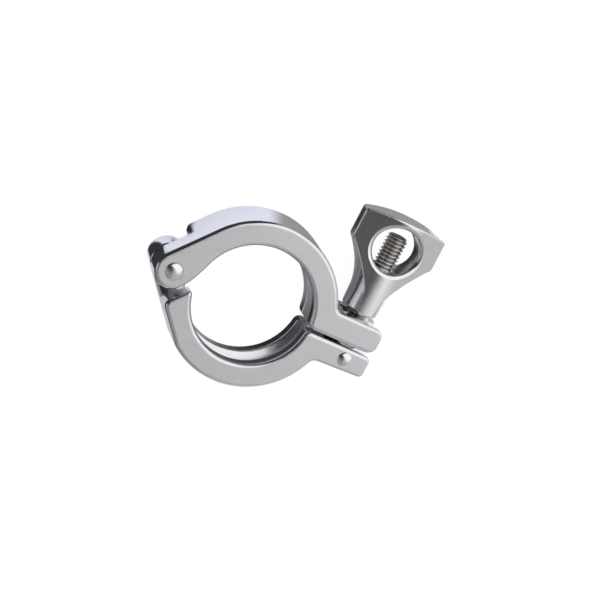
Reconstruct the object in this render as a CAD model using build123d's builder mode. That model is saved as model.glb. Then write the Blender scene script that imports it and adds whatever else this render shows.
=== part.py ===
"""Hinged sanitary clamp for 1 to 1-1/2 inch ferrules (50.5 mm flanges).

Z is the axis of the ring, +X runs from the hinge to the bolt along the parting
plane, and +Y is the side of the wing nut.  The clamp is drawn closed on its
ferrules, with the nut backed off by about one turn, so that the bolt can swing
out of its forks.
"""
import os
from math import acos, cos, degrees, hypot, radians, sin, sqrt, tan

from build123d import *

# ferrules that the clamp closes on
flange_diameter = 50.5
stack_width = 7.3           # two flange rims and the gasket, at the rim
flank_angle = 20.0          # slope of the back of a flange
stack_clearance = 0.1       # a side, between flange and flank at the rim

# ring
lip_radius = 22.1
rim_clearance = 1.35        # between the flange rim and the floor of the groove
outer_radius = 31.0
jaw_width = 21.0
edge_round = 1.4            # front and back edges of the jaws
lip_round = 1.1             # where the groove opens through the lips
floor_round = 1.0

# hinge
hinge_x = -31.45
upper_ear_radius = 6.9
lower_ear_radius = 7.2
upper_flank_inset = 0.0     # of the straight flank, from the tangent of the ring
upper_ear_inset = 0.0       # and from the tangent of the ear
lower_flank_inset = 0.75
lower_ear_inset = 0.6
flank_blend = 5.0           # where an inset flank meets the ear and the ring
ear_end_angle = 70.0        # round the ear, from the parting plane to where it blends into the lip
lip_end_angle = 17.0        # round the lip, from the parting plane to the same blend
ear_blend = ((-26.8, 4.5), (-24.5, 1.45), (-22.25, -3.5))  # between them, for the lower jaw
hinge_pin_diameter = 6.4
hinge_running_clearance = 0.08
press_clearance = 0.01
lap_gap = 0.2               # between the two half-width ears
shoulder_distance = 9.2     # from the hinge axis to the end face of a jaw
shoulder_angle = 41.0       # of that face's normal from the parting plane
shoulder_outer_round = 2.8
shoulder_inner_round = 1.1
lap_round = 0.8             # round an ear, at the lap

# lugs
lug_end_x = 49.2
upper_lug_bottom = 0.5
upper_lug_top = 10.3
lower_lug_top = -0.5
lower_lug_bottom = -9.1     # at the free end; the lug is drafted
lug_draft = 2.2
upper_lug_round = 3.4
lower_lug_round = 2.2
lug_root_round = 2.6
parting_round = 2.6

# swing bolt, 5/16-18 UNC
bolt_diameter = 7.94
bolt_x = 39.9
bolt_pin_y = -4.7
bolt_tip_y = 42.5
bolt_tip_chamfer = 0.9
eye_radius = 6.2
eye_thickness = 8.0
eye_round = 0.8
bolt_pin_diameter = 5.6
bolt_pin_running_clearance = 0.08
fork_clearance = 0.4        # a side, between the eye and the fork
fork_depth_clearance = 0.75  # between the eye and the bottom of the fork
fork_corner_round = 1.2

# rivet domes on the front
dome_height = 0.9

# wing nut
nut_gap = 1.5               # between the nut and its seat, as drawn
nut_height = 37.9
nut_base_radius = 7.4
nut_base_round = 1.2
neck_height = 7.0
neck_top_radius = 7.7
flare = ((8.6, 12.4), (10.9, 7.2), (13.2, 3.8))  # radius, and depth below the wings
flare_angle = 42.0
nut_half_width = 16.5
wing_length = 13.6
wing_crown = 1.9
wing_edge_round = 0.8
wing_lower_round = 2.0
wing_upper_round = 1.2
head_half_thickness = 7.1
crest_half_width = 6.6      # of the rounded middle of the head, seen along the bolt
wing_taper = 18.0
window_radius = 8.6
window_wall = 3.1           # between the window and the top of the head
window_round = 1.6
bore_clearance = 0.06
bore_chamfer = 0.5

half_width = jaw_width / 2
groove_floor_radius = flange_diameter / 2 + rim_clearance
hinge_bore_radius = hinge_pin_diameter / 2 + hinge_running_clearance
hinge_press_radius = hinge_pin_diameter / 2 + press_clearance
bolt_pin_press_radius = bolt_pin_diameter / 2 + press_clearance
eye_bore_radius = bolt_pin_diameter / 2 + bolt_pin_running_clearance
nut_bore_radius = bolt_diameter / 2 + bore_clearance
fork_half_width = eye_thickness / 2 + fork_clearance
fork_root_x = bolt_x - eye_radius - fork_depth_clearance
nut_base_y = upper_lug_top + nut_gap
wing_bottom_height = nut_height - wing_length
window_height = nut_height - window_wall - window_radius
window_y = nut_base_y + window_height

back_face = Plane.XY.offset(-half_width)


def on_circle(centre, radius, angle):
    """The point of a circle at an angle from +X."""
    return (centre[0] + radius * cos(radians(angle)), centre[1] + radius * sin(radians(angle)))


def groove_half_width(radius):
    """Half the width of the V-groove at a radius."""
    to_rim = flange_diameter / 2 - radius
    return stack_width / 2 + stack_clearance + to_rim * tan(radians(flank_angle))


def jaw_outline(side, ear_radius, flank_inset, ear_inset, lug_near, lug_far, draft, lug_round):
    """Full-width outline of one jaw; side is +1 for the upper jaw, -1 for the lower."""
    hinge = (hinge_x, 0)
    ring_reach = outer_radius - flank_inset
    ear_reach = ear_radius - ear_inset
    normal_angle = 180 - side * degrees(acos((ring_reach - ear_reach) / abs(hinge_x)))
    ring_cut = normal_angle - side * degrees(acos(ring_reach / outer_radius))
    ear_cut = normal_angle + side * degrees(acos(ear_reach / ear_radius))
    ring_tangent = on_circle((0, 0), outer_radius, ring_cut)
    ear_tangent = on_circle(hinge, ear_radius, ear_cut)
    ear_far = on_circle(hinge, ear_radius, 180)
    ear_end = on_circle(hinge, ear_radius, -side * ear_end_angle)
    lip_end = on_circle((0, 0), lip_radius, 180 - side * lip_end_angle)
    lip_start = (sqrt(lip_radius**2 - lug_near**2), lug_near)
    root_y = lug_far + side * (lug_end_x - outer_radius) * tan(radians(draft))
    root = (sqrt(outer_radius**2 - root_y**2), root_y)
    with BuildSketch() as sketch:
        with BuildLine():
            Polyline(lip_start, (lug_end_x, lug_near), (lug_end_x, lug_far), root)
            ThreePointArc(root, (0, side * outer_radius), ring_tangent)
            Line(ring_tangent, ear_tangent)
            ThreePointArc(ear_tangent, ear_far, ear_end)
            leaving = (sin(radians(ear_end_angle)), side * cos(radians(ear_end_angle)))
            arriving = (sin(radians(lip_end_angle)), side * cos(radians(lip_end_angle)))
            between = [(x, -side * y) for x, y in ear_blend]
            Spline(ear_end, *between, lip_end, tangents=[leaving, arriving])
            ThreePointArc(lip_end, (0, side * lip_radius), lip_start)
        make_face()
        fillet(sketch.vertices().group_by(Axis.X)[-1], lug_round)
        fillet(sketch.vertices().sort_by_distance(root)[0], lug_root_round)
        fillet(sketch.vertices().sort_by_distance(lip_start)[0], parting_round)
        if flank_inset:
            fillet(sketch.vertices().sort_by_distance(ring_tangent)[0], flank_blend)
            fillet(sketch.vertices().sort_by_distance(ear_tangent)[0], flank_blend)
    return sketch.sketch


def full_width_outline(outline, side):
    """The part of a jaw's outline that is as wide as the ring, up to its rounded end face."""
    reach = 2 * outer_radius
    normal = (cos(radians(shoulder_angle)), side * sin(radians(shoulder_angle)))

    def on_end_face(corner):
        along = (corner.X - hinge_x) * normal[0] + corner.Y * normal[1]
        return abs(along - shoulder_distance) < 0.01

    with BuildSketch() as sketch:
        add(outline)
        with Locations(Location((hinge_x, 0, 0), (0, 0, side * shoulder_angle))):
            with Locations((shoulder_distance - reach / 2, 0)):
                Rectangle(reach, reach, mode=Mode.SUBTRACT)
        ends = sketch.vertices().filter_by(on_end_face).sort_by_distance((0, 0, 0))
        fillet(ends[-1], shoulder_outer_round)
        fillet(sketch.vertices().sort_by_distance(ends[0].center())[0], shoulder_inner_round)
    return sketch.sketch


def groove_section():
    """Section of the V-groove: open inside the lips, rounded over them, down to its floor."""
    trim = lip_round * tan(radians((90 - flank_angle) / 2))
    lip_z = groove_half_width(lip_radius) + trim
    flank_radius = lip_radius + trim * cos(radians(flank_angle))
    flank_z = groove_half_width(flank_radius)
    floor_z = groove_half_width(groove_floor_radius)
    inside = lip_radius - lip_round
    with BuildSketch() as sketch:
        with BuildLine():
            Polyline((lip_radius, lip_z), (inside, lip_z), (inside, -lip_z), (lip_radius, -lip_z))
            TangentArc((lip_radius, -lip_z), (flank_radius, -flank_z), tangent=(0, 1))
            Polyline(
                (flank_radius, -flank_z),
                (groove_floor_radius, -floor_z),
                (groove_floor_radius, floor_z),
                (flank_radius, flank_z),
            )
            TangentArc((lip_radius, lip_z), (flank_radius, flank_z), tangent=(0, -1))
        make_face()
        fillet(sketch.vertices().group_by(Axis.X)[-1], floor_round)
    return sketch.sketch


def fork_slot():
    """Open-ended slot through a lug, seen along the bolt."""
    length = 2 * (lug_end_x - fork_root_x)
    with BuildSketch() as sketch:
        with Locations((fork_root_x + length / 2, 0)):
            Rectangle(length, 2 * fork_half_width)
        fillet(sketch.vertices().group_by(Axis.X)[0], fork_corner_round)
    return sketch.sketch


upper_outline = jaw_outline(
    1, upper_ear_radius, upper_flank_inset, upper_ear_inset, upper_lug_bottom, upper_lug_top, 0, upper_lug_round
)
lower_outline = jaw_outline(
    -1,
    lower_ear_radius,
    lower_flank_inset,
    lower_ear_inset,
    lower_lug_top,
    lower_lug_bottom,
    lug_draft,
    lower_lug_round,
)
upper_full_width = full_width_outline(upper_outline, 1)
lower_full_width = full_width_outline(lower_outline, -1)
groove = groove_section()
slot = fork_slot()

# upper jaw: ring half with the front ear of the hinge and the fork that the nut bears on
with BuildPart() as upper_jaw:
    with BuildSketch(back_face):
        add(upper_full_width)
    extrude(amount=jaw_width)
    with BuildPart() as front_half:
        with BuildSketch(Plane.XY.offset(lap_gap / 2)):
            add(upper_outline)
        extrude(amount=half_width - lap_gap / 2)
        fillet(front_half.faces().sort_by(Axis.Z)[0].edges(), lap_round)
    fillet(upper_jaw.faces().sort_by(Axis.Z)[-1].edges(), edge_round)
    fillet(upper_jaw.faces().sort_by(Axis.Z)[0].edges(), edge_round)
    with BuildSketch(Plane.XZ):
        add(groove)
    revolve(axis=Axis.Z, mode=Mode.SUBTRACT)
    with BuildSketch(Plane.XZ):
        add(slot)
    extrude(amount=outer_radius, both=True, mode=Mode.SUBTRACT)
    with Locations((hinge_x, 0, half_width)):
        Hole(hinge_bore_radius, depth=jaw_width)
upper_jaw.part.label = "upper_jaw"

# lower jaw: ring half with the back ear of the hinge and the fork that holds the bolt
with BuildPart() as lower_jaw:
    with BuildSketch(back_face):
        add(lower_full_width)
    extrude(amount=jaw_width)
    with BuildPart() as back_half:
        with BuildSketch(back_face):
            add(lower_outline)
        extrude(amount=half_width - lap_gap / 2)
        fillet(back_half.faces().sort_by(Axis.Z)[-1].edges(), lap_round)
    fillet(lower_jaw.faces().sort_by(Axis.Z)[-1].edges(), edge_round)
    fillet(lower_jaw.faces().sort_by(Axis.Z)[0].edges(), edge_round)
    with BuildSketch(Plane.XZ):
        add(groove)
    revolve(axis=Axis.Z, mode=Mode.SUBTRACT)
    with BuildSketch(Plane.XZ):
        add(slot)
    extrude(amount=outer_radius, both=True, mode=Mode.SUBTRACT)
    with Locations((hinge_x, 0, half_width)):
        Hole(hinge_press_radius, depth=jaw_width)
    with Locations((bolt_x, bolt_pin_y, half_width)):
        Hole(bolt_pin_press_radius, depth=jaw_width)
lower_jaw.part.label = "lower_jaw"


def rivet_section(radius):
    """Half section of a rivet: flush with the back of the jaws and domed over their front."""
    dome_radius = (radius**2 + dome_height**2) / (2 * dome_height)
    top = half_width + dome_height
    with BuildSketch() as sketch:
        with BuildLine():
            Polyline((0, top), (0, -half_width), (radius, -half_width), (radius, half_width))
            RadiusArc((radius, half_width), (0, top), -dome_radius)
        make_face()
    return sketch.sketch


hinge_pin_section = rivet_section(hinge_pin_diameter / 2)
bolt_pin_section = rivet_section(bolt_pin_diameter / 2)

# rivet that the jaws turn on, fast in the lower jaw
with BuildPart() as hinge_pin:
    with BuildSketch(Plane((hinge_x, 0, 0), x_dir=(1, 0, 0), z_dir=(0, -1, 0))):
        add(hinge_pin_section)
    revolve(axis=Axis((hinge_x, 0, 0), (0, 0, 1)))
hinge_pin.part.label = "hinge_pin"

# rivet across the lower fork, through the eye of the bolt
with BuildPart() as bolt_pin:
    with BuildSketch(Plane((bolt_x, bolt_pin_y, 0), x_dir=(1, 0, 0), z_dir=(0, -1, 0))):
        add(bolt_pin_section)
    revolve(axis=Axis((bolt_x, bolt_pin_y, 0), (0, 0, 1)))
bolt_pin.part.label = "bolt_pin"

# swing bolt: round eye and plain shank, drawn at its major diameter
with BuildPart() as swing_bolt:
    with BuildSketch(Plane.XY.offset(-eye_thickness / 2)):
        with Locations((bolt_x, bolt_pin_y)):
            Circle(eye_radius)
    extrude(amount=eye_thickness)
    fillet(swing_bolt.edges().filter_by(GeomType.CIRCLE), eye_round)
    with BuildSketch(Plane.XZ.offset(-bolt_tip_y)):
        with Locations((bolt_x, 0)):
            Circle(bolt_diameter / 2)
    extrude(amount=bolt_tip_y - bolt_pin_y)
    chamfer(swing_bolt.faces().sort_by(Axis.Y)[-1].edges(), bolt_tip_chamfer)
    with Locations((bolt_x, bolt_pin_y, eye_thickness / 2)):
        Hole(eye_bore_radius, depth=eye_thickness)
swing_bolt.part.label = "swing_bolt"


def nut_profile():
    """Half outline of the nut about its own axis: round neck, flare, wings and crowned top."""
    wing_top = nut_height - wing_crown
    crown_radius = (nut_half_width**2 + wing_crown**2) / (2 * wing_crown)
    neck_slope = (neck_top_radius - nut_base_radius, neck_height)
    flare_slope = (cos(radians(flare_angle)), sin(radians(flare_angle)))
    with BuildSketch() as sketch:
        with BuildLine():
            Polyline((0, 0), (nut_base_radius, 0), (neck_top_radius, neck_height))
            Spline(
                (neck_top_radius, neck_height),
                *[(radius, wing_bottom_height - depth) for radius, depth in flare],
                (nut_half_width, wing_bottom_height),
                tangents=[neck_slope, flare_slope],
            )
            Line((nut_half_width, wing_bottom_height), (nut_half_width, wing_top))
            RadiusArc((nut_half_width, wing_top), (0, nut_height), -crown_radius)
            Line((0, nut_height), (0, 0))
        make_face()
        fillet(sketch.vertices().sort_by_distance((nut_half_width, wing_bottom_height))[0], wing_lower_round)
        fillet(sketch.vertices().sort_by_distance((nut_half_width, wing_top))[0], wing_upper_round)
        fillet(sketch.vertices().sort_by_distance((nut_base_radius, 0))[0], nut_base_round)
    return sketch.sketch


def head_plan():
    """Plan of the head along the bolt: crowned in the middle, tapering to the tips."""
    taper = radians(wing_taper)
    crest_drop = crest_half_width * tan(taper / 2)
    crest_z = head_half_thickness - crest_drop
    beyond = nut_half_width + wing_upper_round
    end_z = crest_z - (beyond - crest_half_width) * tan(taper)
    with BuildSketch() as sketch:
        with BuildLine():
            for side in (1, -1):
                Line((-beyond, side * end_z), (-crest_half_width, side * crest_z))
                ThreePointArc(
                    (-crest_half_width, side * crest_z),
                    (0, side * head_half_thickness),
                    (crest_half_width, side * crest_z),
                )
                Line((crest_half_width, side * crest_z), (beyond, side * end_z))
                Line((side * beyond, end_z), (side * beyond, -end_z))
        make_face()
    return sketch.sketch


def head_edges(nut, side):
    """Outline of the front (+1) or back (-1) of the head, without the seams within it."""

    def is_seam(edge):
        on_crest = abs(abs((edge @ 0.5).X - bolt_x) - crest_half_width) < 0.01
        return on_crest and abs((edge % 0.5).Y) > 0.999

    return nut.edges().filter_by(lambda e: side * (e @ 0.5).Z > 0.5 and not is_seam(e))


def window_rim(nut):
    """Both outlines of the window, where it opens through the faces of the head."""

    def on_window(point):
        return abs(hypot(point.X - bolt_x, point.Y - window_y) - window_radius) < 0.01

    return nut.edges().filter_by(lambda e: all(on_window(e @ t) for t in (0.1, 0.5, 0.9)))


nut_half = nut_profile()
head = head_plan()
nut_base = Plane((bolt_x, nut_base_y, 0), x_dir=(1, 0, 0), z_dir=(0, 1, 0))

# wing nut: a turned neck and flare, flattened into a head, with a window that shows the bolt
with BuildPart() as wing_nut:
    with BuildSketch(Plane((bolt_x, nut_base_y, 0))):
        add(nut_half)
    revolve(axis=Axis((bolt_x, 0, 0), (0, 1, 0)))
    with BuildSketch(nut_base):
        add(head)
    extrude(amount=nut_height, mode=Mode.INTERSECT)
    fillet(head_edges(wing_nut, 1), wing_edge_round)
    fillet(head_edges(wing_nut, -1), wing_edge_round)
    with Locations((bolt_x, window_y, 0)):
        Hole(window_radius)
    fillet(window_rim(wing_nut), window_round)
    with BuildSketch(nut_base):
        Circle(nut_bore_radius)
    extrude(amount=window_height, mode=Mode.SUBTRACT)
    bore_edges = wing_nut.edges().filter_by(GeomType.CIRCLE).sort_by(Axis.Y)
    chamfer(bore_edges.filter_by(lambda e: abs(e.radius - nut_bore_radius) < 0.01)[0], bore_chamfer)
wing_nut.part.label = "wing_nut"

os.makedirs("parts", exist_ok=True)
export_step(upper_jaw.part, "parts/upper_jaw.step")
export_step(lower_jaw.part, "parts/lower_jaw.step")
export_step(hinge_pin.part, "parts/hinge_pin.step")
export_step(bolt_pin.part, "parts/bolt_pin.step")
export_step(swing_bolt.part, "parts/swing_bolt.step")
export_step(wing_nut.part, "parts/wing_nut.step")
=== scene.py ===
from math import cos, pi, radians, sin

import bpy
import numpy as np
from mathutils import Matrix, Vector


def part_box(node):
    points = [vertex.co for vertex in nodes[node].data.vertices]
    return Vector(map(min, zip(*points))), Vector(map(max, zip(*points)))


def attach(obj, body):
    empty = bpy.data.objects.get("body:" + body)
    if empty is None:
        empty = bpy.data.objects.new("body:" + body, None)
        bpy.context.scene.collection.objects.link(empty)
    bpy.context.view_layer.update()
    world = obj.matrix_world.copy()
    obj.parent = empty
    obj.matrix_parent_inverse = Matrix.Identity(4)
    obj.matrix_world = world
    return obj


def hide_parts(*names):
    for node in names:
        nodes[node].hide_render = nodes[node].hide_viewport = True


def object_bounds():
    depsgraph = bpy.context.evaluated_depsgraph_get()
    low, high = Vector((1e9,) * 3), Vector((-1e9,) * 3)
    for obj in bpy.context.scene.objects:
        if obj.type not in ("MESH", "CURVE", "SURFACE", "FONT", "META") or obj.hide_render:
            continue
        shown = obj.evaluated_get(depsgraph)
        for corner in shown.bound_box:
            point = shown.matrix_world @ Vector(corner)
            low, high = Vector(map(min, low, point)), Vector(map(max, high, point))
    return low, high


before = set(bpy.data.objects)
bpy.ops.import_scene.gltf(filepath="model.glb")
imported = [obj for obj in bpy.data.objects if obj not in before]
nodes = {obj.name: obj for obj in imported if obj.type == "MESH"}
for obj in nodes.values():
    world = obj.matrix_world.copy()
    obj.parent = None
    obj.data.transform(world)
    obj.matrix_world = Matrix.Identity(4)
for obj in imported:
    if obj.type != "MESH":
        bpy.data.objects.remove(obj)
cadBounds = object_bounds()
print("frame loaded:", sorted(nodes))

mm = 0.001


# ---- shader maths: operators on sockets become Math nodes

class Value:
    # one number that varies over a surface or a sky
    def __init__(self, graph, socket):
        self.graph, self.socket = graph, socket

    def math(self, operation, *others, clamp=False):
        settings = {"operation": operation, "use_clamp": clamp}
        return Value(self.graph, self.graph.node("ShaderNodeMath", settings, self, *others).outputs[0])

    def __add__(self, other): return self.math("ADD", other)
    def __sub__(self, other): return self.math("SUBTRACT", other)
    def __mul__(self, other): return self.math("MULTIPLY", other)
    def __truediv__(self, other): return self.math("DIVIDE", other)
    def __rsub__(self, other): return self.math("MULTIPLY_ADD", -1.0, other)
    __radd__ = __add__
    __rmul__ = __mul__

    def size(self):
        return self.math("ABSOLUTE")

    def step(self, low, high):
        # 0 at low, 1 at high, an S-curve between them
        settings = {"interpolation_type": "SMOOTHSTEP"}
        return Value(self.graph, self.graph.node("ShaderNodeMapRange", settings, self, low, high).outputs[0])

    def band(self, low, high, edge):
        # 1 between low and high, 0 outside, over a soft edge
        return self.step(low - edge, low + edge) * self.step(high + edge, high - edge)


class Graph:
    # the node tree of a material or the world
    def __init__(self, owner):
        owner.use_nodes = True
        self.tree = owner.node_tree
        self.tree.nodes.clear()

    def node(self, kind, settings=None, *inputs, **named):
        # settings first, because an operation or a ramp's stops change the sockets
        made = self.tree.nodes.new(kind)
        for key, setting in (settings or {}).items():
            if key == "stops":
                ramp = made.color_ramp
                while len(ramp.elements) < len(setting):
                    ramp.elements.new(0.5)
                for element, (place, colour) in zip(ramp.elements, setting):
                    element.position = place
                    element.color = (*colour, 1)
            else:
                setattr(made, key, setting)
        slots = list(enumerate(inputs)) + [(key.replace("_", " "), value) for key, value in named.items()]
        for key, value in slots:
            self.feed(made.inputs[key], value)
        return made

    def feed(self, socket, value):
        if isinstance(value, Value):
            value = value.socket
        if isinstance(value, bpy.types.NodeSocket):
            self.tree.links.new(value, socket)
        elif isinstance(value, tuple) and len(value) == 3 and socket.type == "RGBA":
            socket.default_value = (*value, 1)
        else:
            socket.default_value = value

    def split(self, vector):
        return [Value(self, out) for out in self.node("ShaderNodeSeparateXYZ", None, vector).outputs]

    def stretch(self, vector, scale):
        return self.node("ShaderNodeMapping", None, Vector=vector, Scale=scale).outputs[0]

    def noise(self, vector, scale, detail=2.0, roughness=0.5):
        made = self.node(
            "ShaderNodeTexNoise", None, Vector=vector, Scale=scale, Detail=detail, Roughness=roughness
        )
        return Value(self, made.outputs["Fac"])

    def mix(self, factor, first, second):
        made = self.node("ShaderNodeMix", {"data_type": "RGBA"})
        self.feed(made.inputs[0], factor)
        self.feed(made.inputs[6], first)
        self.feed(made.inputs[7], second)
        return made.outputs[2]


# ---- finishes

def steel(name, paint):
    # a metal whose colour, roughness and height come from paint(graph, place)
    material = bpy.data.materials.new(name)
    graph = Graph(material)
    place = graph.node("ShaderNodeTexCoord").outputs["Object"]
    colour, roughness, height, depth = paint(graph, place)
    bump = graph.node("ShaderNodeBump", None, Strength=1.0, Distance=depth, Height=height)
    shader = graph.node("ShaderNodeBsdfPrincipled", None, Metallic=1.0, Roughness=roughness)
    graph.feed(shader.inputs["Base Color"], colour)
    graph.feed(shader.inputs["Normal"], bump.outputs[0])
    graph.node("ShaderNodeOutputMaterial", None, shader.outputs[0])
    return material


jaws = {
    "satinFrom": 10.47 * mm,     # distance from the middle plane; the faces beyond are satin
    "polishedTo": 10.25 * mm,
    "grooveFrom": 29.5 * mm,     # radius between the rim and the groove
    "grooveTo": 28.5 * mm,
    "bump": 0.030 * mm,
}


def paintJaws(graph, place):
    x, y, z = graph.split(place)
    side = z.size().step(jaws["satinFrom"], jaws["polishedTo"])
    inGroove = (x * x + y * y).math("SQRT").step(jaws["grooveFrom"], jaws["grooveTo"])
    grain = graph.noise(place, 5200, 3.0, 0.6)
    cloud = graph.noise(place, 180, 3.0, 0.55)
    scuff = graph.noise(graph.stretch(place, (1.0, 1.0, 0.12)), 2600, 3.0, 0.6)
    turned = graph.noise(graph.stretch(place, (0.12, 0.12, 1.0)), 3200, 2.0, 0.5)
    colour = graph.mix(cloud, (0.75, 0.742, 0.766), (0.81, 0.802, 0.822))
    satin = 0.30 + 0.08 * (cloud - 0.5) + 0.10 * (grain - 0.5)
    polished = 0.085 + 0.05 * (cloud - 0.5) + 0.05 * (scuff - 0.5)
    polished = polished + inGroove * (0.12 + 0.14 * (turned - 0.5))
    roughness = satin + side * (polished - satin)
    height = grain * (1 - side) + side * (0.05 * scuff + 0.30 * turned * inGroove)
    return colour, roughness, height, jaws["bump"]


def paintNut(graph, place):
    grain = graph.noise(place, 2500, 1.0, 0.5)
    cloud = graph.noise(place, 220, 3.0, 0.55)
    colour = graph.mix(cloud, (0.74, 0.735, 0.76), (0.82, 0.812, 0.832))
    roughness = 0.16 + 0.10 * (cloud - 0.5) + 0.10 * (grain - 0.5)
    return colour, roughness, grain, 0.030 * mm


def paintPins(graph, place):
    cloud = graph.noise(place, 400, 2.0, 0.5)
    colour = graph.mix(cloud, (0.80, 0.80, 0.81), (0.85, 0.85, 0.86))
    return colour, 0.17 + 0.08 * (cloud - 0.5), cloud, 0.004 * mm


def paintBolt(graph, place):
    # painted shade: the thread's roots are dark, and so is the eye, deep in its fork
    x, y, z = graph.split(place)
    cloud = graph.noise(place, 900, 3.0, 0.6)
    reach = ((x - boltX) * (x - boltX) + z * z).math("SQRT")
    # painted shade of the fork: darker low down, plain metal higher up
    clear = y.step(bolt["forkShadeBelow"], bolt["forkShadeEndsAbove"])
    crest = reach.step(bolt["rootReach"], bolt["crestReach"]) * (0.35 + 0.65 * clear)
    metal = graph.mix(cloud, (0.66, 0.64, 0.61), (0.80, 0.78, 0.755))
    # painted shade colour, in the thread's roots and more so low in the fork
    colour = graph.mix(crest, (0.30, 0.29, 0.27), metal)
    return colour, 0.22 + 0.12 * (cloud - 0.5), cloud, 0.008 * mm


def dress(names, material):
    for name in names:
        data = nodes[name].data
        data.materials.clear()
        data.materials.append(material)


dress(("upper_jaw", "lower_jaw"), steel("satin jaws", paintJaws))
dress(("wing_nut",), steel("tumbled nut", paintNut))
rivetSteel = steel("polished rivets", paintPins)
dress(("hinge_pin", "bolt_pin"), rivetSteel)
print("finishes made")


# ---- swing bolt: turned eye and rolled thread

bolt = {
    "pitch": 1.411 * mm,
    "threadDepth": 0.80 * mm,   # crest to root
    "crestShare": 0.16,         # of the pitch
    "rootShare": 0.14,
    "tipChamfer": 0.9 * mm,
    "radius": 3.97 * mm,
    "shankStart": 4.1 * mm,     # from the eye's centre, inside the eye
    "threadStart": 9.0 * mm,
    "runOut": 1.4 * mm,
    "eyeHalf": 4.0 * mm,
    "eyeRadius": 6.2 * mm,
    "eyeBore": 2.88 * mm,
    "eyeRound": 0.8 * mm,
    "rootReach": 3.15 * mm,     # from the axis: painted shade in the root, plain metal on the crest
    "crestReach": 3.65 * mm,
    "forkShadeBelow": 1.0 * mm,      # height in the closed clamp; the fork's painted shade fades out between these two
    "forkShadeEndsAbove": 6.0 * mm,
    "around": 72,
    "perTurn": 16,
}


def gridMesh(name, points, closeRows=False, closeColumns=False, caps=()):
    # quads over a grid of points [rows, columns, 3]; caps are rows closed by a fan to their middle
    rows, columns = points.shape[:2]
    place = np.arange(rows * columns).reshape(rows, columns)
    if closeRows:
        place = np.vstack([place, place[:1]])
    if closeColumns:
        place = np.hstack([place, place[:, :1]])
    quads = np.stack([place[:-1, :-1], place[:-1, 1:], place[1:, 1:], place[1:, :-1]], -1).reshape(-1, 4)
    vertices = points.reshape(-1, 3)
    faces = quads.tolist()
    for row in caps:
        ring = place[row]
        middle = len(vertices)
        vertices = np.vstack([vertices, points[row].mean(0)])
        pairs = np.stack([ring[:-1], ring[1:]], -1)
        if row == 0:
            pairs = pairs[:, ::-1]
        faces += np.hstack([pairs, np.full((len(pairs), 1), middle)]).tolist()
    mesh = bpy.data.meshes.new(name)
    mesh.from_pydata(vertices.tolist(), [], faces)
    mesh.validate()
    mesh.polygons.foreach_set("use_smooth", np.ones(len(mesh.polygons), bool))
    return mesh


def addPiece(mesh, material, body, node):
    piece = bpy.data.objects.new(mesh.name, mesh)
    bpy.context.scene.collection.objects.link(piece)
    mesh.materials.append(material)
    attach(piece, body)
    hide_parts(node)


def threadSurface(low, high, settings):
    # radius falls and rises along the axis with the phase y / pitch - angle / full turn:
    # flat crest, straight flank, flat root, straight flank; it fades to a plain shank below
    # and is cut by a cone at the tip
    count = int((high - low) / settings["pitch"] * settings["perTurn"])
    along = np.linspace(low, high, count)
    angle = np.linspace(0, 2 * pi, settings["around"], endpoint=False)
    phase = (along[:, None] / settings["pitch"] - angle[None, :] / (2 * pi)) % 1.0
    flank = (1 - settings["crestShare"] - settings["rootShare"]) / 2
    rise = np.clip((np.abs(phase - 0.5) - settings["rootShare"] / 2) / flank, 0, 1)
    fade = np.clip((along - low) / settings["runOut"], 0, 1)[:, None]
    reach = settings["radius"] - settings["threadDepth"] * (1 - rise) * fade
    toTip = (high - along)[:, None]
    reach = np.minimum(reach, settings["radius"] - settings["tipChamfer"] + toTip)
    return along, angle, reach


def makeShank(axisX, eyeY, tipY, settings):
    along, angle, reach = threadSurface(eyeY + settings["threadStart"], tipY, settings)
    along = np.concatenate([[eyeY + settings["shankStart"]], along])
    reach = np.vstack([np.full((1, len(angle)), settings["radius"]), reach])
    points = np.stack([
        axisX + reach * np.sin(angle)[None, :],
        np.repeat(along[:, None], len(angle), 1),
        reach * np.cos(angle)[None, :],
    ], -1)
    return gridMesh("threaded_bolt", points, closeColumns=True, caps=(0, len(along) - 1))


def makeEye(axisX, eyeY, settings):
    # a washer: bore, back face, rounded rim, front face, turned about the rivet's axis
    half, outer, bore, bend = (settings[key] for key in ("eyeHalf", "eyeRadius", "eyeBore", "eyeRound"))
    arc = np.linspace(0, pi / 2, 7)
    rimR = outer - bend + bend * np.sin(arc)
    rimZ = half - bend + bend * np.cos(arc)
    profileR = np.concatenate([[bore], rimR, rimR[::-1], [bore]])
    profileZ = np.concatenate([[-half], -rimZ, rimZ[::-1], [half]])
    turn = np.linspace(0, 2 * pi, 96, endpoint=False)
    points = np.stack([
        axisX + profileR[:, None] * np.cos(turn)[None, :],
        eyeY + profileR[:, None] * np.sin(turn)[None, :],
        np.repeat(profileZ[:, None], len(turn), 1),
    ], -1)
    return gridMesh("bolt_eye", points, closeRows=True, closeColumns=True)


boltLow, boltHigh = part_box("swing_bolt")
boltX = (boltLow.x + boltHigh.x) / 2
eyeY = boltLow.y + bolt["eyeRadius"]
threadSteel = steel("rolled thread", paintBolt)
for mesh in (makeShank(boltX, eyeY, boltHigh.y, bolt), makeEye(boltX, eyeY, bolt)):
    addPiece(mesh, threadSteel, "bolt", "swing_bolt")
print("bolt made")


# ---- rivets: turned, with a rounder head than a plain cap

rivets = {
    "heads": {"hinge_pin": 3.2 * mm, "bolt_pin": 2.8 * mm},  # radius
    "face": 10.5 * mm,      # of the jaws, that the heads stand on
    "fullness": 2.4,
    "steepness": 0.62,
    "slack": 0.03 * mm,     # the shank is this much thinner than the head
    "shoulder": 0.2 * mm,   # from the face down to the shank
}


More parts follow.
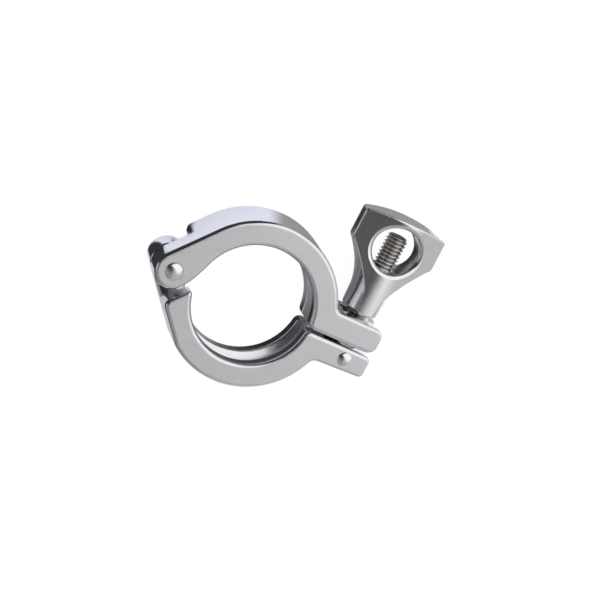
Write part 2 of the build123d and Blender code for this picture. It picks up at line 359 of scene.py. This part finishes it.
def makeRivet(node, head, settings):
    # height over the face = rise * (1 - (r / head) ^ fullness) ^ steepness, a steep side and a soft top
    low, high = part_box(node)
    centreX, centreY = (low.x + high.x) / 2, (low.y + high.y) / 2
    face = settings["face"]
    share = np.sin(np.linspace(0.02, pi / 2, 22))
    domeR = head * share
    domeZ = face + (high.z - face) * (1 - share ** settings["fullness"]) ** settings["steepness"]
    shank = head - settings["slack"]
    profileR = np.concatenate([domeR, [shank, shank]])
    profileZ = np.concatenate([domeZ, [face - settings["shoulder"], low.z]])
    turn = np.linspace(0, 2 * pi, 72, endpoint=False)
    points = np.stack([
        centreX + profileR[:, None] * np.cos(turn)[None, :],
        centreY + profileR[:, None] * np.sin(turn)[None, :],
        np.repeat(profileZ[:, None], len(turn), 1),
    ], -1)[::-1]
    return gridMesh(node + "_turned", points, closeColumns=True, caps=(0, len(profileR) - 1))


for node, head in rivets["heads"].items():
    addPiece(makeRivet(node, head, rivets), rivetSteel, "lower", node)
print("rivets made")


# ---- floor, sky and camera

# floor tones; the first five are painted light and shade, seen only in mirror rays on the metal
floorTone = {
    "paintedPale": (0.80, 0.82, 0.91),    # painted pale reflection, under the ring
    "bright": (0.95, 0.95, 0.97),   # painted bright reflection, beyond the lugs
    "shade": (0.33, 0.33, 0.34),
    "dark": (0.035, 0.035, 0.04),   # painted dark reflection, beyond the hinge and the upper left
    "lift": 0.33,                   # painted glow of those tones, in mirror rays
    "seen": (0.14, 0.14, 0.145),    # what the camera sees: a little shadow on a white glow
    "glow": 0.94,
    "bounce": (0.6, 0.6, 0.62),
}

# soft painted dark patches on the floor, seen only in mirror rays, that polished metal reflects as dark
# spots on the jaw's shoulder, the nut's end and its window wall: low x, high x, edge, low y, high y, edge in
# mm
paintedDarkPatches = {
    "shoulder": (-33.0, -27.5, 1.2, 9.0, 15.0, 1.8),
    "nutEnd": (14.0, 24.0, 4.0, 34.5, 48.0, 4.0),
    "windowWall": (42.6, 48.0, 0.8, 34.0, 45.0, 1.2),
}


def makeFloor(tone):
    low = cadBounds[0]
    reach = 4.0
    mesh = bpy.data.meshes.new("floor")
    corners = [(-reach, -reach), (reach, -reach), (reach, reach), (-reach, reach)]
    mesh.from_pydata([(x, y, low[2]) for x, y in corners], [], [(0, 1, 2, 3)])
    floor = bpy.data.objects.new("floor", mesh)
    bpy.context.scene.collection.objects.link(floor)
    graph = Graph(bpy.data.materials.new("pale floor"))
    place = graph.node("ShaderNodeTexCoord").outputs["Object"]
    x, y = graph.split(place)[:2]
    # painted light and shade for mirror rays: floor zones named by where they lie, pale under the ring,
    # bright beyond the lugs, dark at the upper left
    fromRing = ((x + 2 * mm) * (x + 2 * mm) + (y - 5 * mm) * (y - 5 * mm)).math("SQRT")
    paintedPalePart = x.step(3 * mm, -6 * mm) * (0.5 + 0.5 * y.step(-12 * mm, -2 * mm))
    underRing = fromRing.step(43 * mm, 38 * mm) * paintedPalePart
    beyondNut = (y - 35 * mm).math("MAXIMUM", 0.0)
    beyondLugs = (x - beyondNut).step(36 * mm, 42 * mm)
    upperLeft = (y - x).step(38 * mm, 50 * mm) * x.step(6 * mm, -6 * mm)
    hinge = x.step(-38.4 * mm, -39.6 * mm) * y.step(8.2 * mm, 7.0 * mm)
    inRing = (x * x + y * y).math("SQRT").step(24 * mm, 22 * mm)
    inside = inRing * x.step(-12 * mm, 16 * mm) * y.step(8 * mm, 0.0)
    colour = graph.mix(beyondLugs, tone["shade"], tone["bright"])
    colour = graph.mix(upperLeft, colour, tone["dark"])
    colour = graph.mix(underRing, colour, tone["paintedPale"])
    # painted dark patches beyond the hinge, inside the ring and at the listed places darken the metal's
    # reflections
    patches = [hinge, inside]
    for lowX, highX, edgeX, lowY, highY, edgeY in paintedDarkPatches.values():
        across = x.band(lowX * mm, highX * mm, edgeX * mm)
        patches.append(across * y.band(lowY * mm, highY * mm, edgeY * mm))
    for patch in patches:
        colour = graph.mix(patch, colour, tone["dark"])
    paths = graph.node("ShaderNodeLightPath")
    matt = graph.node("ShaderNodeBsdfDiffuse", None, Color=tone["seen"])
    glow = graph.node("ShaderNodeEmission", None, Color=(1, 1, 1), Strength=tone["glow"])
    shown = graph.node("ShaderNodeAddShader", None, matt.outputs[0], glow.outputs[0])
    lit = graph.node("ShaderNodeBsdfDiffuse", None, Color=colour)
    # the painted tones also glow, in mirror rays only
    lift = graph.node("ShaderNodeEmission", None, Color=colour, Strength=tone["lift"])
    mirrored = graph.node("ShaderNodeAddShader", None, lit.outputs[0], lift.outputs[0])
    pale = graph.node("ShaderNodeBsdfDiffuse", None, Color=tone["bounce"])
    other = graph.node(
        "ShaderNodeMixShader", None, paths.outputs["Is Glossy Ray"], pale.outputs[0], mirrored.outputs[0]
    )
    either = graph.node(
        "ShaderNodeMixShader", None, paths.outputs["Is Camera Ray"], other.outputs[0], shown.outputs[0]
    )
    graph.node("ShaderNodeOutputMaterial", None, either.outputs[0])
    mesh.materials.append(bpy.data.materials["pale floor"])


sky = {
    "base": 0.035,
    "front": (0.27, 0.3, 0.8),       # strength, and where it sets in by the angle from the front
    "right": (0.42, 0.07, 0.25),     # strength, and where it sets in by x
    "farRight": (0.12, 0.45, 0.75),
    "softboxes": [
        # azimuth, elevation, half width, half height, their soft edges, strength
        (52, 52, 0.75, 0.66, 0.25, 0.05, 1.12),
        (-160, 20, 0.24, 0.26, 0.04, 0.04, 0.55),
        (112, 45, 0.10, 0.20, 0.05, 0.05, 0.6),
    ],
}


def makeSky(settings):
    world = bpy.data.worlds.new("studio")
    bpy.context.scene.world = world
    graph = Graph(world)
    direction = graph.node("ShaderNodeTexCoord").outputs["Generated"]
    x, y, z = graph.split(direction)

    def towards(azimuth, elevation):
        a, e = radians(azimuth), radians(elevation)
        return cos(e) * cos(a), cos(e) * sin(a), sin(e)

    def facing(azimuth, elevation):
        # 1 straight at a place in the sky, 0 at right angles to it
        dx, dy, dz = towards(azimuth, elevation)
        return x * dx + y * dy + z * dz

    def softbox(azimuth, elevation, wide, high, wideEdge, highEdge):
        # a lamp with straight sides: across and up are the tangents of the angles from its middle
        dx, dy, dz = towards(azimuth, elevation)
        a, e = radians(azimuth), radians(elevation)
        ahead = (x * dx + y * dy + z * dz).math("MAXIMUM", 0.001)
        across = (x * -sin(a) + y * cos(a)) / ahead
        up = (x * (-sin(e) * cos(a)) + y * (-sin(e) * sin(a)) + z * cos(e)) / ahead
        inWidth = across.size().step(wide + wideEdge, wide - wideEdge)
        return inWidth * up.size().step(high + highEdge, high - highEdge)

    frontLight, frontLow, frontHigh = settings["front"]
    rightLight, rightLow, rightHigh = settings["right"]
    farLight, farLow, farHigh = settings["farRight"]
    side = rightLight * x.step(rightLow, rightHigh) + farLight * x.step(farLow, farHigh)
    front = frontLight * facing(-100, 15).step(frontLow, frontHigh)
    light = settings["base"] + side.math("MAXIMUM", front)
    for *shape, strength in settings["softboxes"]:
        light = light + softbox(*shape) * (strength - light)
    paths = graph.node("ShaderNodeLightPath")
    studio = graph.node("ShaderNodeBackground", None, Color=(1, 1, 1), Strength=light)
    white = graph.node("ShaderNodeBackground", None, Color=(1, 1, 1), Strength=1.0)
    shown = graph.node(
        "ShaderNodeMixShader", None, paths.outputs["Is Glossy Ray"], white.outputs[0], studio.outputs[0]
    )
    graph.node("ShaderNodeOutputWorld", None, shown.outputs[0])


view = {
    "place": (-278.79 * mm, 198.29 * mm, 894.11 * mm),
    "target": (15.425 * mm, 7.44 * mm, 0.0),
    "up": (-0.3834, 0.8694, -0.3117),
    "lens": 163.6,
    "sensor": 36.0,
}


def makeCamera(settings):
    data = bpy.data.cameras.new("camera")
    data.lens = settings["lens"]
    data.sensor_width = settings["sensor"]
    data.clip_start = 0.01
    camera = bpy.data.objects.new("camera", data)
    bpy.context.scene.collection.objects.link(camera)
    place = Vector(settings["place"])
    back = (place - Vector(settings["target"])).normalized()
    right = Vector(settings["up"]).cross(back).normalized()
    up = back.cross(right)
    camera.matrix_world = Matrix.Translation(place) @ Matrix((right, up, back)).transposed().to_4x4()
    bpy.context.scene.camera = camera


makeFloor(floorTone)
makeSky(sky)
makeCamera(view)
bpy.context.scene.view_settings.view_transform = "Standard"
print("stage made")
